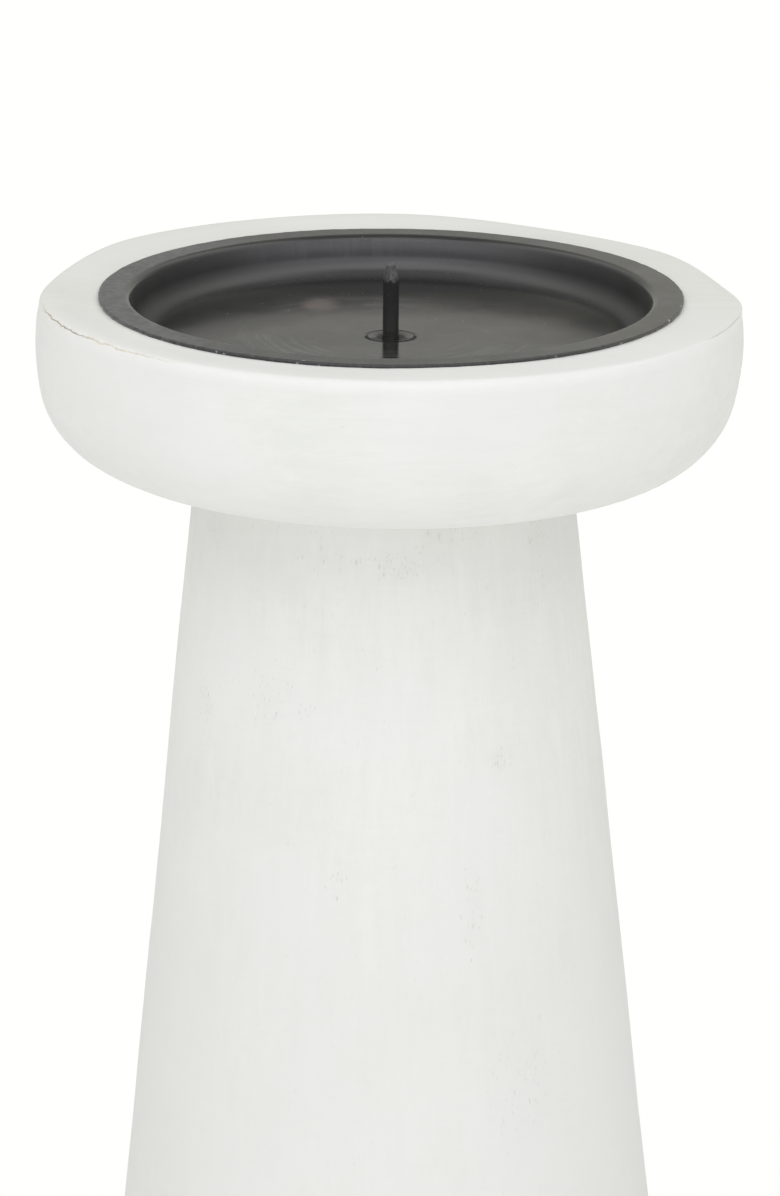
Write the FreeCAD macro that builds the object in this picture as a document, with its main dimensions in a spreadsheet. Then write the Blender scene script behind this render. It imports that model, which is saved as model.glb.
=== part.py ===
import FreeCAD, Part
import math
import os
import Sketcher

# Turned wooden stand for a pillar candle: a tall tapered column, a turned dish that sits on the
# column's tenon, and a pressed sheet-metal drip pan with a candle spike that drops into the dish.
#
# Millimetres. +Z is up. The origin is on the ground, at the centre of the foot. Every sub-part is
# modelled in a frame of its own, whose z = 0 is that sub-part's lowest flat, and its Placement
# lifts it to where it belongs.

# ---------------------------------------------------------------------------------------------
# Driving dimensions: alias, value, what it is
# ---------------------------------------------------------------------------------------------
DIMENSIONS = [
    # felt pads under the foot
    ("felt_radius", 8.0, "radius of a felt pad"),
    ("felt_height", 2.0, "thickness of a felt pad"),
    ("felt_circle", 46.0, "radius of the circle the pads stand on"),
    # column
    ("foot_radius", 60.0, "radius of the column's foot"),
    ("neck_radius", 30.8, "radius of the column where it meets the dish"),
    ("column_height", 275.0, "foot to neck, without the tenon"),
    ("foot_chamfer", 1.2, "chamfer round the foot"),
    ("tenon_radius", 12.5, "radius of the tenon on the column's neck"),
    ("tenon_height", 12.0, "height of the tenon"),
    ("tenon_chamfer", 1.0, "lead-in chamfer of the tenon"),
    # dish
    ("dish_radius", 57.5, "outer radius of the dish"),
    ("dish_height", 28.0, "thickness of the dish"),
    ("side_height", 7.9, "straight upper part of the dish's side"),
    ("shoulder_radius", 45.0, "slow curve below the straight side"),
    ("corner_radius", 13.6, "tight curve where the side turns under"),
    ("belly_radius", 53.5, "slow curve of the underside"),
    ("under_radius", 33.9, "radius where the underside becomes flat"),
    ("rim_round", 1.2, "round on the rim's outer edge"),
    ("seat_radius", 48.4, "outer radius of the flat seat for the pan's flange"),
    ("seat_drop", 0.8, "seat below the rim's outer edge: the rim falls inwards"),
    ("recess_radius", 44.0, "radius of the recess for the pan"),
    ("recess_depth", 11.0, "depth of the recess, from the rim"),
    ("recess_round", 2.0, "round at the bottom of the recess"),
    ("mortise_radius", 12.6, "radius of the mortise for the tenon"),
    ("mortise_depth", 12.2, "depth of the mortise"),
    # stem screw, countersunk into the recess and driven down into the column
    ("screw_length", 60.0, "length of the stem screw"),
    ("screw_radius", 2.5, "radius of the screw's shank and thread"),
    ("screw_tip", 5.0, "height of the screw's point"),
    ("screw_head_radius", 4.8, "radius of the countersunk head"),
    ("screw_head_height", 2.7, "height of the head's cone"),
    ("screw_head_rim", 0.4, "straight rim of the head"),
    ("screw_inset", 0.1, "head below the floor of the recess"),
    ("screw_hole_gap", 0.1, "radial clearance of the hole in the dish"),
    ("driver_span", 5.2, "tip to tip across the cross recess"),
    ("driver_width", 1.1, "width of one slot of the cross recess"),
    ("driver_depth", 2.2, "depth of the cross recess"),
    # drip pan
    ("sheet", 0.6, "thickness of the pan's sheet metal"),
    ("flange_radius", 47.8, "outer radius of the flange"),
    ("pan_depth", 7.15, "flange to floor"),
    ("wall_radius", 42.2, "inner radius of the pan's wall at the flange"),
    ("wall_draft", 0.5, "how much narrower the wall is at the floor"),
    ("floor_round", 4.0, "inner round between floor and wall"),
    ("lip_round", 1.4, "round where the wall rolls into the flange"),
    ("dimple_radius", 3.7, "outer radius of the dimple round the spike"),
    ("dimple_floor", 2.3, "radius of the dimple's flat bottom"),
    ("dimple_depth", 0.5, "depth of the dimple"),
    # spike, riveted through the pan over a washer
    ("spike_radius", 1.32, "radius of the spike"),
    ("spike_height", 12.2, "spike above the pan's floor"),
    ("spike_point", 2.7, "height of the spike's cone"),
    ("spike_end_radius", 0.72, "radius of the spike's blunt end"),
    ("spike_end_round", 0.35, "round on the blunt end"),
    ("tail_radius", 0.9, "radius of the riveted tail"),
    ("tail_gap", 0.05, "radial clearance round the tail"),
    ("rivet_radius", 1.7, "radius of the closed rivet head"),
    ("rivet_height", 0.6, "height of the closed rivet head"),
    ("washer_radius", 3.0, "outer radius of the washer"),
    ("washer_height", 0.8, "thickness of the washer"),
]
FELT_PADS = 4
FULL_TURN = 360.0

# How a sketch numbers its own axes and origin.
HORIZONTAL_AXIS = -1
VERTICAL_AXIS = -2
SKETCH_ORIGIN = (-1, 1)

doc = FreeCAD.newDocument("pillar_candle_stand")
sizes = doc.addObject("Spreadsheet::Sheet", "sizes")
for row, (alias, value, meaning) in enumerate(DIMENSIONS, start=1):
    sizes.set(f"A{row}", meaning)
    sizes.set(f"B{row}", str(value))
    sizes.setAlias(f"B{row}", alias)
doc.recompute()


def size(alias):
    """The number that the sheet holds under an alias."""
    return float(sizes.get(alias))


def value_of(expression):
    """What a sum or difference of the sheet's cells, such as "sizes.a - sizes.b", comes to."""
    total = 0.0
    sign = 1
    for word in expression.split():
        if word in ("+", "-"):
            sign = 1 if word == "+" else -1
        elif word.startswith("sizes."):
            total += sign * size(word.removeprefix("sizes."))
        else:
            total += sign * float(word)
    return total


# ---------------------------------------------------------------------------------------------
# Levels above the ground
# ---------------------------------------------------------------------------------------------
NECK = "sizes.felt_height + sizes.column_height"
RIM = f"{NECK} + sizes.dish_height"
SCREW_TIP = f"{RIM} - sizes.recess_depth - sizes.screw_inset - sizes.screw_length"
PAN_UNDERSIDE = f"{RIM} - sizes.seat_drop - sizes.pan_depth - sizes.dimple_depth"


# ---------------------------------------------------------------------------------------------
# Helpers
# ---------------------------------------------------------------------------------------------
def new_body(name):
    body = doc.addObject("PartDesign::Body", name)
    body.Label = name
    return body


def new_sketch(body, name, plane):
    """An empty sketch on one of the body's own origin planes."""
    sketch = body.newObject("Sketcher::SketchObject", name)
    origin_plane = next(f for f in body.Origin.OriginFeatures if f.Role == plane)
    sketch.AttachmentSupport = [(origin_plane, "")]
    sketch.MapMode = "FlatFace"
    return sketch


def fix_point(sketch, line, end, corner):
    """Tie one end of a line to (across, up), both expressions, or to an axis where one is 0."""
    for kind, axis, text in zip(("DistanceX", "DistanceY"), (VERTICAL_AXIS, HORIZONTAL_AXIS), corner):
        if text == "0":
            sketch.addConstraint(Sketcher.Constraint("PointOnObject", line, end, axis))
            continue
        distance = Sketcher.Constraint(kind, *SKETCH_ORIGIN, line, end, value_of(text))
        index = sketch.addConstraint(distance)
        sketch.setExpression(f"Constraints[{index}]", text)


def straight_lines(sketch, corners):
    """Lines through corners, each (across, up) as expressions. Gives the first and last number."""
    points = [FreeCAD.Vector(value_of(across), value_of(up), 0) for across, up in corners]
    first = sketch.GeometryCount
    for here, there in zip(points, points[1:]):
        sketch.addGeometry(Part.LineSegment(here, there), False)
    last = sketch.GeometryCount - 1
    for line in range(first, last):
        sketch.addConstraint(Sketcher.Constraint("Coincident", line, 2, line + 1, 1))
    for line, corner in zip(range(first, last + 1), corners):
        fix_point(sketch, line, 1, corner)
    return first, last


def polygon(sketch, corners):
    """Closed outline through corners."""
    first, last = straight_lines(sketch, corners + corners[:1])
    sketch.addConstraint(Sketcher.Constraint("Coincident", last, 2, first, 1))


def revolve(body, sketch):
    """Full turn of the outline about the body's own Z axis."""
    solid = body.newObject("PartDesign::Revolution", f"{body.Name}_turned")
    solid.Profile = sketch
    solid.ReferenceAxis = (sketch, ["V_Axis"])
    solid.Angle = FULL_TURN
    sketch.Visibility = False
    doc.recompute()
    return solid


def ring_edge(feature, radius, height):
    """Name of the feature's circular edge with this radius at this height."""
    for number, edge in enumerate(feature.Shape.Edges, start=1):
        curve = edge.Curve
        if not isinstance(curve, Part.Circle):
            continue
        if abs(curve.Radius - radius) < 0.01 and abs(curve.Center.z - height) < 0.01:
            return f"Edge{number}"
    raise RuntimeError(f"{feature.Name} has no ring edge of radius {radius} at height {height}")


def dress(body, kind, radius, height, property_name, expression):
    """Fillet or chamfer one ring edge of the body's tip, sized by an expression."""
    base = body.Tip
    feature = body.newObject(f"PartDesign::{kind}", f"{body.Name}_{kind.lower()}_{len(body.Group)}")
    feature.Base = (base, [ring_edge(base, radius, height)])
    feature.setExpression(property_name, expression)
    base.Visibility = False
    doc.recompute()
    return feature


# ---------------------------------------------------------------------------------------------
# Column: straight-sided cone with a tenon, and a pilot hole for the stem screw
# ---------------------------------------------------------------------------------------------
def make_column():
    body = new_body("column")
    shoulder = "sizes.column_height"
    tenon_top = "sizes.column_height + sizes.tenon_height"
    # The pilot hole ends where the screw's tip does.
    pilot_end = f"{SCREW_TIP} - sizes.felt_height"
    sketch = new_sketch(body, "column_outline", "XZ_Plane")
    polygon(sketch, [
        ("0", "0"),
        ("sizes.foot_radius", "0"),
        ("sizes.neck_radius", shoulder),
        ("sizes.tenon_radius", shoulder),
        ("sizes.tenon_radius", tenon_top),
        ("sizes.screw_radius", tenon_top),
        ("sizes.screw_radius", f"{pilot_end} + sizes.screw_tip"),
        ("0", pilot_end),
    ])
    revolve(body, sketch)
    dress(body, "Chamfer", size("foot_radius"), 0.0, "Size", "sizes.foot_chamfer")
    tenon_end = size("column_height") + size("tenon_height")
    dress(body, "Chamfer", size("tenon_radius"), tenon_end, "Size", "sizes.tenon_chamfer")
    body.setExpression("Placement.Base.z", "sizes.felt_height")
    return body


# ---------------------------------------------------------------------------------------------
# Dish: straight upper side, three tangent arcs turning under, seat and recess above, mortise below
# ---------------------------------------------------------------------------------------------
def tangent_arcs(start, radii, turns):
    """Arcs of a circle end to end, the first one leaving start straight down and all turning in.

    turns holds the angle, from straight down, at which each arc ends.
    """
    arcs = []
    across, up = start
    before = 0.0
    for radius, after in zip(radii, turns):
        centre = FreeCAD.Vector(across - radius * math.cos(before), up + radius * math.sin(before), 0)
        circle = Part.Circle(centre, FreeCAD.Vector(0, 0, 1), radius)
        arcs.append(Part.ArcOfCircle(circle, -after, -before))
        across = centre.x + radius * math.cos(after)
        up = centre.y - radius * math.sin(after)
        before = after
    return arcs


def make_dish():
    body = new_body("dish")
    sketch = new_sketch(body, "dish_outline", "XZ_Plane")
    outer, height = size("dish_radius"), size("dish_height")
    side_end = (outer, height - size("side_height"))
    radii = [size("shoulder_radius"), size("corner_radius"), size("belly_radius")]
    # The two inner angles only start the solver off: the radii and the ends settle them.
    arcs = tangent_arcs(side_end, radii, [math.radians(10), math.radians(76), math.radians(90)])

    # Side and arcs, from the rim down to the flat of the underside. An arc's end 2 is its upper end.
    sketch.addGeometry(Part.LineSegment(FreeCAD.Vector(outer, height, 0),
                                        FreeCAD.Vector(*side_end, 0)), False)
    for arc in arcs:
        sketch.addGeometry(arc, False)
    # The rest is straight: underside, mortise, screw hole with countersink, recess and rim.
    floor = "sizes.dish_height - sizes.recess_depth"
    seat = "sizes.dish_height - sizes.seat_drop"
    hole = "sizes.screw_radius + sizes.screw_hole_gap"
    head = "sizes.screw_head_radius + sizes.screw_hole_gap"
    sink_top = f"{floor} - sizes.screw_inset - sizes.screw_head_rim"
    straight = [
        ("sizes.under_radius", "0"),
        ("sizes.mortise_radius", "0"),
        ("sizes.mortise_radius", "sizes.mortise_depth"),
        (hole, "sizes.mortise_depth"),
        (hole, f"{sink_top} - sizes.screw_head_height"),
        (head, sink_top),
        (head, floor),
        ("sizes.recess_radius", floor),
        ("sizes.recess_radius", seat),
        ("sizes.seat_radius", seat),
        ("sizes.dish_radius", "sizes.dish_height"),
    ]
    first, last = straight_lines(sketch, straight)
    fix_point(sketch, last, 2, straight[-1])

    sketch.addConstraint(Sketcher.Constraint("Coincident", last, 2, 0, 1))
    sketch.addConstraint(Sketcher.Constraint("Vertical", 0))
    sketch.addConstraint(Sketcher.Constraint("Tangent", 0, 2, 1, 2))
    sketch.addConstraint(Sketcher.Constraint("Tangent", 1, 1, 2, 2))
    sketch.addConstraint(Sketcher.Constraint("Tangent", 2, 1, 3, 2))
    sketch.addConstraint(Sketcher.Constraint("Tangent", 3, 1, first, 1))
    for arc, alias in ((1, "shoulder_radius"), (2, "corner_radius"), (3, "belly_radius")):
        index = sketch.addConstraint(Sketcher.Constraint("Radius", arc, size(alias)))
        sketch.setExpression(f"Constraints[{index}]", f"sizes.{alias}")
    index = sketch.addConstraint(Sketcher.Constraint("DistanceY", 0, 2, 0, 1, size("side_height")))
    sketch.setExpression(f"Constraints[{index}]", "sizes.side_height")
    revolve(body, sketch)

    floor_height = height - size("recess_depth")
    dress(body, "Fillet", outer, height, "Radius", "sizes.rim_round")
    dress(body, "Fillet", size("recess_radius"), floor_height, "Radius", "sizes.recess_round")
    body.setExpression("Placement.Base.z", NECK)
    return body


# ---------------------------------------------------------------------------------------------
# Stem screw: countersunk wood screw with a cross recess, its thread at crest size
# ---------------------------------------------------------------------------------------------
def make_stem_screw():
    body = new_body("stem_screw")
    rim = "sizes.screw_length - sizes.screw_head_rim"
    sketch = new_sketch(body, "screw_outline", "XZ_Plane")
    polygon(sketch, [
        ("0", "0"),
        ("sizes.screw_radius", "sizes.screw_tip"),
        ("sizes.screw_radius", f"{rim} - sizes.screw_head_height"),
        ("sizes.screw_head_radius", rim),
        ("sizes.screw_head_radius", "sizes.screw_length"),
        ("0", "sizes.screw_length"),
    ])
    turned = revolve(body, sketch)
    whole = turned.Shape.Volume

    # Both slots of the cross in one outline, centred on the axis.
    cross = new_sketch(body, "cross_recess", "XY_Plane")
    cross.setExpression("AttachmentOffset.Base.z", "sizes.screw_length")
    far, near = size("driver_span") / 2, size("driver_width") / 2
    extents = {far: "sizes.driver_span / 2", near: "sizes.driver_width / 2"}
    corners = [(far, -near), (far, near), (near, near), (near, far), (-near, far), (-near, near),
               (-far, near), (-far, -near), (-near, -near), (-near, -far), (near, -far), (near, -near)]
    points = [FreeCAD.Vector(*corner, 0) for corner in corners]
    for here, there in zip(points, points[1:] + points[:1]):
        cross.addGeometry(Part.LineSegment(here, there), False)
    for i, corner in enumerate(corners):
        following = (i + 1) % len(corners)
        cross.addConstraint(Sketcher.Constraint("Coincident", i, 2, following, 1))
        for kind, value in zip(("DistanceX", "DistanceY"), corner):
            index = cross.addConstraint(Sketcher.Constraint(kind, *SKETCH_ORIGIN, i, 1, value))
            sign = "-" if value < 0 else ""
            cross.setExpression(f"Constraints[{index}]", f"{sign}({extents[abs(value)]})")
    pocket = body.newObject("PartDesign::Pocket", "driver_slots")
    pocket.Profile = cross
    pocket.Type = "Length"
    pocket.setExpression("Length", "sizes.driver_depth")
    pocket.Reversed = False
    cross.Visibility = False
    doc.recompute()
    # Two slots that share the square where they cross.
    slots = (2 * size("driver_span") - size("driver_width")) * size("driver_width") * size("driver_depth")
    removed = whole - pocket.Shape.Volume
    if abs(removed - slots) > 0.15 * slots:
        raise RuntimeError(f"the cross recess removed {removed:.2f} mm3, not {slots:.2f}")
    body.setExpression("Placement.Base.z", SCREW_TIP)
    return body


# ---------------------------------------------------------------------------------------------
# Drip pan: one sheet of even thickness, pressed into floor, wall and flange
# ---------------------------------------------------------------------------------------------
def make_pan():
    body = new_body("pan")
    hole = "sizes.tail_radius + sizes.tail_gap"
    under = "sizes.dimple_depth"
    floor = "sizes.dimple_depth + sizes.sheet"
    flange = "sizes.dimple_depth + sizes.pan_depth"
    flange_top = "sizes.dimple_depth + sizes.pan_depth + sizes.sheet"
    wall_foot = "sizes.wall_radius - sizes.wall_draft"
    sketch = new_sketch(body, "pan_outline", "XZ_Plane")
    polygon(sketch, [
        (hole, "0"),
        ("sizes.dimple_floor", "0"),
        ("sizes.dimple_radius", under),
        (f"{wall_foot} + sizes.sheet", under),
        ("sizes.wall_radius + sizes.sheet", flange),
        ("sizes.flange_radius", flange),
        ("sizes.flange_radius", flange_top),
        ("sizes.wall_radius", flange_top),
        (wall_foot, floor),
        ("sizes.dimple_radius", floor),
        ("sizes.dimple_floor", "sizes.sheet"),
        (hole, "sizes.sheet"),
    ])
    revolve(body, sketch)
    low = size("dimple_depth")
    high = low + size("pan_depth")
    sheet = size("sheet")
    top_radius = size("wall_radius")
    foot_radius = top_radius - size("wall_draft")
    dress(body, "Fillet", foot_radius, low + sheet, "Radius", "sizes.floor_round")
    dress(body, "Fillet", foot_radius + sheet, low, "Radius", "sizes.floor_round + sizes.sheet")
    dress(body, "Fillet", top_radius, high + sheet, "Radius", "sizes.lip_round")
    dress(body, "Fillet", top_radius + sheet, high, "Radius", "sizes.lip_round - sizes.sheet")
    # The flange's underside lies on the seat in the rim of the dish.
    body.setExpression("Placement.Base.z", PAN_UNDERSIDE)
    return body


# ---------------------------------------------------------------------------------------------
# Spike: blunt round pin with a thinner tail, closed into a rivet head under the washer
# ---------------------------------------------------------------------------------------------
def make_spike():
    body = new_body("spike")
    shoulder = "sizes.rivet_height + sizes.washer_height + sizes.sheet"
    tip = f"{shoulder} + sizes.dimple_depth + sizes.spike_height"
    sketch = new_sketch(body, "spike_outline", "XZ_Plane")
    polygon(sketch, [
        ("0", "0"),
        ("sizes.rivet_radius", "0"),
        ("sizes.rivet_radius", "sizes.rivet_height"),
        ("sizes.tail_radius", "sizes.rivet_height"),
        ("sizes.tail_radius", shoulder),
        ("sizes.spike_radius", shoulder),
        ("sizes.spike_radius", f"{tip} - sizes.spike_point"),
        ("sizes.spike_end_radius", tip),
        ("0", tip),
    ])
    revolve(body, sketch)
    tip_height = (size("rivet_height") + size("washer_height") + size("sheet")
                  + size("dimple_depth") + size("spike_height"))
    dress(body, "Fillet", size("spike_end_radius"), tip_height, "Radius", "sizes.spike_end_round")
    body.setExpression("Placement.Base.z",
                       f"{PAN_UNDERSIDE} - sizes.washer_height - sizes.rivet_height")
    return body


def make_spike_washer():
    body = new_body("spike_washer")
    hole = "sizes.tail_radius + sizes.tail_gap"
    sketch = new_sketch(body, "washer_outline", "XZ_Plane")
    polygon(sketch, [
        (hole, "0"),
        ("sizes.washer_radius", "0"),
        ("sizes.washer_radius", "sizes.washer_height"),
        (hole, "sizes.washer_height"),
    ])
    revolve(body, sketch)
    body.setExpression("Placement.Base.z", f"{PAN_UNDERSIDE} - sizes.washer_height")
    return body


# ---------------------------------------------------------------------------------------------
# Felt pads: discs stuck under the foot, spread evenly
# ---------------------------------------------------------------------------------------------
def make_felt_pad(number):
    pad = doc.addObject("Part::Cylinder", f"felt_pad_{number}")
    pad.Label = f"felt_pad_{number}"
    pad.setExpression("Radius", "sizes.felt_radius")
    pad.setExpression("Height", "sizes.felt_height")
    angle = FULL_TURN / FELT_PADS * (number - 0.5)
    pad.setExpression("Placement.Base.x", f"sizes.felt_circle * cos({angle} deg)")
    pad.setExpression("Placement.Base.y", f"sizes.felt_circle * sin({angle} deg)")
    return pad


# ---------------------------------------------------------------------------------------------
# Build, test and write
# ---------------------------------------------------------------------------------------------
sub_parts = [make_column(), make_dish(), make_stem_screw(), make_pan(), make_spike(),
             make_spike_washer()]
sub_parts += [make_felt_pad(number) for number in range(1, FELT_PADS + 1)]
doc.recompute()

for thing in doc.Objects:
    if "Invalid" in thing.State or "Error" in thing.State:
        raise RuntimeError(f"{thing.Label} didn't compute: {thing.State}")
    if thing.TypeId == "Sketcher::SketchObject" and not thing.FullyConstrained:
        raise RuntimeError(f"{thing.Label} isn't fully constrained")

os.makedirs("parts", exist_ok=True)
for part in sub_parts:
    shape = part.Shape
    if shape.isNull() or not shape.isValid() or len(shape.Solids) != 1:
        raise RuntimeError(f"{part.Label} isn't one valid solid")
    shape.exportStep(f"parts/{part.Label}.step")
    box = shape.optimalBoundingBox()
    print(f"{part.Label:13s} z {box.ZMin:8.2f} to {box.ZMax:8.2f}  width {box.XLength:7.2f}"
          f"  volume {shape.Volume / 1000:9.3f} cm3")
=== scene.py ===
import math

import bmesh
import bpy
from mathutils import Matrix, Vector, noise


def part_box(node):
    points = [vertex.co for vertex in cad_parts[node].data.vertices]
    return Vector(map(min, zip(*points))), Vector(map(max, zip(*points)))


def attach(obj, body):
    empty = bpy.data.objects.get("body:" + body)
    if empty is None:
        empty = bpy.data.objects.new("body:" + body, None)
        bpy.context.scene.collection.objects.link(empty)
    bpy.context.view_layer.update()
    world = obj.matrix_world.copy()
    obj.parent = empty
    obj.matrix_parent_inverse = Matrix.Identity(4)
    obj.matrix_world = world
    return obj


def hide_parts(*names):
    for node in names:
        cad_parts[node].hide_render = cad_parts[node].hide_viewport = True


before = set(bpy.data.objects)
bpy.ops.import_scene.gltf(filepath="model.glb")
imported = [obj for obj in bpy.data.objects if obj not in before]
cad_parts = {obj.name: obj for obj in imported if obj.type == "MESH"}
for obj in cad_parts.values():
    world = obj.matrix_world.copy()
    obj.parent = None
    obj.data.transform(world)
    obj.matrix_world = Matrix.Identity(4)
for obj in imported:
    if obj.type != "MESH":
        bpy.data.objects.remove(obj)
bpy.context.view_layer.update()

# Looks of the pillar candle stand: a white-washed turned column and dish, and a black enamelled
# drip pan with its spike. Outlines are (radius, height) in millimetres and are turned about +Z.

MM = 0.001

# ---- Sizes taken from the frame, in millimetres ----
def extent(node):
    """(largest radius, lowest z, highest z) of a CAD node, in millimetres."""
    low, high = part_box(node)
    return high[0] / MM, low[2] / MM, high[2] / MM


DISH_RADIUS, NECK_Z, _ = extent("dish")
_, FOOT_Z, TENON_Z = extent("column")
FLANGE_RADIUS, PAN_LOW_Z, FLANGE_Z = extent("pan")
_, RIVET_Z, SPIKE_Z = extent("spike")
WASHER_RADIUS, WASHER_Z, WASHER_TOP_Z = extent("spike_washer")
SCREW_HEAD_RADIUS, SCREW_TIP_Z, SCREW_TOP_Z = extent("stem_screw")

FELT_NODES = sorted(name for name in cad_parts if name.startswith("felt_pad"))

SHEET = 0.6
NECK_RADIUS = 30.8
FOOT_RADIUS = 60.0
TENON_RADIUS = 12.5
RECESS_RADIUS = 44.0
RECESS_DEPTH = 11.0
SEAT_RADIUS = 48.4
SEAT_DROP = 0.8
SPIKE_RADIUS = 1.32
SCREW_RADIUS = 2.5
SCREW_POINT = 5.0

# The rim's outer edge, where its rounding is left out of account.
RIM_Z = FLANGE_Z - SHEET + SEAT_DROP

# The neck of the column is cut about a degree out of square, so the dish and all it carries lean
# to the right and sit a little off the axis.
LEAN = math.radians(1.16)
OFF_AXIS = 0.45

# The pan's seat wasn't turned true to the rim: it tilts to the right and to the back by itself.
SEAT_ROLL = math.radians(0.72)
SEAT_PITCH = math.radians(-0.60)
SEAT_SHIFT = Vector((0.36, 0.0, -0.05))


# ---- Outlines ----
def line(start, end, steps=1):
    """Points from start up to, not including, end."""
    return [(start[0] + (end[0] - start[0]) * i / steps, start[1] + (end[1] - start[1]) * i / steps)
            for i in range(steps)]


def polar(centre, radius, angle):
    """The point at a radius from a centre, at an angle in degrees."""
    turned = math.radians(angle)
    return centre[0] + radius * math.cos(turned), centre[1] + radius * math.sin(turned)


def arc(centre, radius, start, end, steps):
    """Points round a centre from start to end, in degrees, including both."""
    return [polar(centre, radius, start + (end - start) * i / steps) for i in range(steps + 1)]


def thicken(path, thickness):
    """The path, which is the upper side of a sheet, and the under side at the sheet's thickness."""
    under = []
    for i, here in enumerate(path):
        before = path[max(i - 1, 0)]
        after = path[min(i + 1, len(path) - 1)]
        run, rise = after[0] - before[0], after[1] - before[1]
        size = math.hypot(run, rise)
        under.append((here[0] - rise / size * thickness, here[1] + run / size * thickness))
    return path, under


# ---- Meshes ----
def turn(name, outline, segments, loop=False, change=None):
    """Mesh object from an outline in millimetres turned about Z.

    A point on the axis becomes one vertex. loop joins the last point to the first. change moves a
    point, given as a Vector in millimetres, to its final place. The attribute "profile" keeps each
    vertex's radius (x) and height (z) in the outline, which the materials read.
    """
    mesh = bmesh.new()
    profile = mesh.verts.layers.float_vector.new("profile")
    rings = []
    for radius, height in outline:
        count = segments if radius > 1e-6 else 1
        ring = []
        for i in range(count):
            angle = 2 * math.pi * i / segments
            point = Vector((radius * math.cos(angle), radius * math.sin(angle), height))
            if change:
                point = change(point)
            vertex = mesh.verts.new(point * MM)
            vertex[profile] = (radius, 0.0, height)
            ring.append(vertex)
        rings.append(ring)
    pairs = list(zip(rings, rings[1:]))
    if loop:
        pairs.append((rings[-1], rings[0]))
    for low, high in pairs:
        for i in range(segments):
            j = (i + 1) % segments
            corners = [low[i % len(low)], low[j % len(low)], high[j % len(high)], high[i % len(high)]]
            face = list(dict.fromkeys(corners))
            if len(face) > 2:
                mesh.faces.new(face)
    bmesh.ops.recalc_face_normals(mesh, faces=mesh.faces)
    data = bpy.data.meshes.new(name)
    mesh.to_mesh(data)
    mesh.free()
    data.shade_smooth()
    piece = bpy.data.objects.new(name, data)
    bpy.context.scene.collection.objects.link(piece)
    return piece


def smooth_step(low, high, value):
    t = min(max((value - low) / (high - low), 0.0), 1.0)
    return t * t * (3 - 2 * t)


def leaning(point):
    """Where a point of the dish, in millimetres, goes when the dish leans on the neck."""
    across, up = point.x, point.z - NECK_Z
    return Vector((across * math.cos(LEAN) + up * math.sin(LEAN) + OFF_AXIS, point.y,
                   NECK_Z + up * math.cos(LEAN) - across * math.sin(LEAN)))


def seated(point):
    """Where a point of the pan, in millimetres, goes when the pan lies on its seat."""
    turned = Vector((point.x, point.y, point.z - RIM_Z))
    turned = Matrix.Rotation(SEAT_ROLL, 3, "Y") @ Matrix.Rotation(SEAT_PITCH, 3, "X") @ turned
    return turned + leaning(Vector((0, 0, RIM_Z))) + SEAT_SHIFT


def seat_height(point):
    """How far the pan's seat lies above or below its CAD height, measured square to the dish."""
    return point.x * math.tan(LEAN - SEAT_ROLL) + point.y * math.tan(SEAT_PITCH) + SEAT_SHIFT.z


def unevenness(point, size, amount, seed):
    """Slow hand-made unevenness, in millimetres."""
    return amount * noise.noise(Vector((point.x / size + seed, point.y / size, point.z / size)))


# ---- Wood ----
RIM_ROUND = 1.3
RIM_TAPER = 0.3
RECESS_ROUND = 2.0

# Where the rim was sanded by hand: the depth taken off in millimetres, and the centre and half width of
# the stretch in degrees. RIM_FALLS lower the rim, and EDGE_SOFTENINGS round its outer edge back.
RIM_FALLS = [(0.16, 90, 110), (0.28, 128, 38), (0.72, 54, 34), (0.45, 16, 26), (0.50, 165, 26)]
EDGE_SOFTENINGS = [(0.70, 170, 32), (0.75, 12, 26)]


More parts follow.
